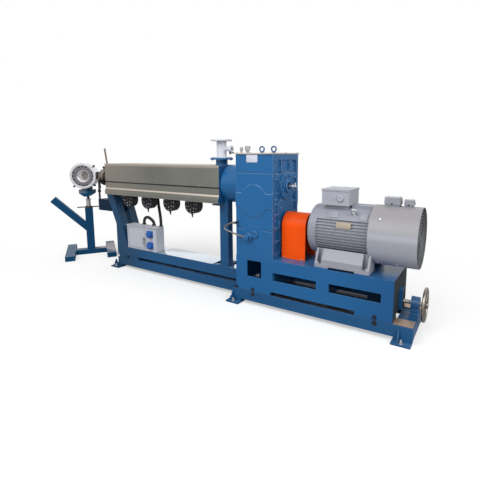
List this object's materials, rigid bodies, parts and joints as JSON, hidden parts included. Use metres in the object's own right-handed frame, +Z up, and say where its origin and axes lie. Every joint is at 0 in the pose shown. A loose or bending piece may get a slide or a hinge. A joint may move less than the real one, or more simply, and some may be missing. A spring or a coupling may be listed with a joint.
{
  "type": "single-screw plastic pipe extruder",
  "caption": "Single-screw extruder on a floor bed: motor, tall gearbox, feed tube, covered barrel with cooling blowers and a turned pipe die on its own stand.",
  "frame": {"origin": "on the floor, at the centre of the four anchor holes of the wide feet", "axes": "+X along the screw towards the motor and the handwheel, -Y towards the side with the door, +Z up"},
  "size_m": [4.8865, 0.9286, 1.534],
  "materials": {
    "blue_paint": "semi-gloss machine enamel",
    "machined_way": "machined, lightly oiled and stained",
    "bright_steel": "turned",
    "dark_steel": "heat-darkened",
    "lid_metal": "sheet, satin",
    "motor_paint": "semi-gloss",
    "orange_paint": "gloss",
    "white_paint": "gloss",
    "cover_sheet": "brushed sheet",
    "black_paint": "satin",
    "box_paint": "textured powder coat",
    "socket_plastic": "moulded",
    "black_plastic": "corrugated",
    "chrome_wheel": "polished"
  },
  "bodies": {
    "bed": {"bed_frame": "blue_paint", "foot_pads": "blue_paint", "slide_ways": "machined_way", "adapter_neck": "dark_steel", "die_ring": "bright_steel", "die_body": "bright_steel", "die_stand": "blue_paint"},
    "carriage": {"carriage_rails": "blue_paint", "drive_frame": "blue_paint", "gearbox_case": "blue_paint", "gearbox_lid": "lid_metal", "breather_caps": "bright_steel", "lifting_eyes": "blue_paint", "bearing_cap": "blue_paint", "rotary_fitting": "bright_steel", "oil_pump": "bright_steel", "oil_pipe": "bright_steel", "coupling_guard": "orange_paint", "motor_shield": "motor_paint", "motor_body": "motor_paint", "motor_feet": "motor_paint", "terminal_box": "motor_paint", "fan_cowl": "motor_paint", "cowl_boxes": "motor_paint", "feed_housing": "blue_paint", "feed_throat": "blue_paint", "feed_tube": "white_paint", "rear_columns": "blue_paint", "front_legs": "blue_paint", "front_bracket": "blue_paint", "barrel_jack": "bright_steel", "barrel": "dark_steel", "cover_upper": "cover_sheet", "cover_lower": "cover_sheet", "cooling_blowers": "black_paint", "electric_box": "box_paint", "box_sockets": "socket_plastic", "conduits": "black_plastic", "barrel_clamp": "bright_steel"},
    "box_door": {"box_door": "box_paint"},
    "handwheel": {"handwheel": "chrome_wheel", "lead_screw": "bright_steel"},
    "saddle": {"head_saddle": "blue_paint", "saddle_jack": "dark_steel"},
    "jack_nut": {"jack_nut": "dark_steel"}
  },
  "joints": [
    {"name": "carriage_slide", "type": "slide", "parent": "bed", "child": "carriage", "axis": [1, 0, 0], "range_m": [0, 0.045]},
    {"name": "handwheel_turn", "type": "hinge", "parent": "bed", "child": "handwheel", "pos_m": [0.87, 0, 0.235], "axis": [1, 0, 0], "range_deg": [0, 2030]},
    {"name": "box_door_hinge", "type": "hinge", "parent": "carriage", "child": "box_door", "pos_m": [-2.426, -0.133, 0], "axis": [0, 0, -1], "range_deg": [0, 110]},
    {"name": "saddle_lift", "type": "slide", "parent": "bed", "child": "saddle", "axis": [0, 0, 1], "range_m": [-0.05, 0]},
    {"name": "jack_nut_turn", "type": "hinge", "parent": "bed", "child": "jack_nut", "pos_m": [-3.513, 0.079, 0.661], "axis": [0, 0, 1], "range_deg": [-3010, 0]}
  ],
  "couplings": [
    {"joint": "handwheel_turn", "follows": "carriage_slide", "rad_per_m": 785.4},
    {"joint": "jack_nut_turn", "follows": "saddle_lift", "rad_per_m": 1047.2}
  ]
}
